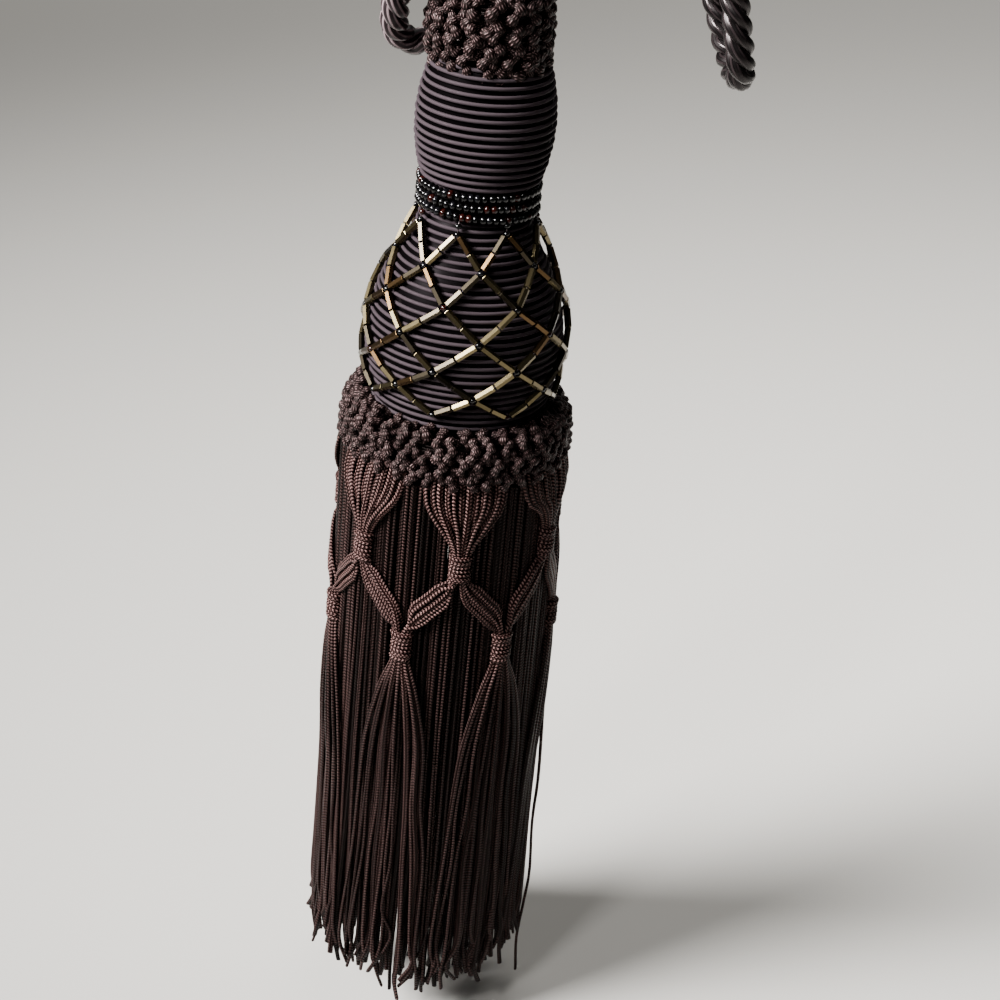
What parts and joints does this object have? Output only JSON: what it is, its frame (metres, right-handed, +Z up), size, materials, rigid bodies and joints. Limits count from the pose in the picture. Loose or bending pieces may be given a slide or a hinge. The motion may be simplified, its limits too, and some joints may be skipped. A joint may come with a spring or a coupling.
{
  "type": "tassel",
  "caption": "Beaded curtain tassel: wound ball and bell head under a bugle bead net, bullion ruffs, straight and knotted fringe, on a twisted cord loop.",
  "frame": {"origin": "where a hook bears under the top of the cord loop", "axes": "+Z up along the hanging tassel, -Y towards the front, +X towards the side where the doubled loop hangs"},
  "size_m": [0.0865, 0.0574, 0.3296],
  "materials": {
    "rope": "shiny twisted rayon",
    "bullion": "two-ply twisted yarn loops, soft sheen",
    "winding": "smooth round cord, satin",
    "seed_beads": "glossy black glass",
    "bugle_beads": "glossy bronze-brown glass",
    "fringe": "braided rayon strands, silky"
  },
  "bodies": {
    "root": {"hanging_cord": "rope", "top_ruff": "bullion", "wound_ball": "winding", "bead_collar": "seed_beads", "wound_bell": "winding", "bead_net": "bugle_beads", "lower_ruff": "bullion", "under_fringe": "fringe", "knotted_fringe": "fringe"}
  },
  "joints": []
}
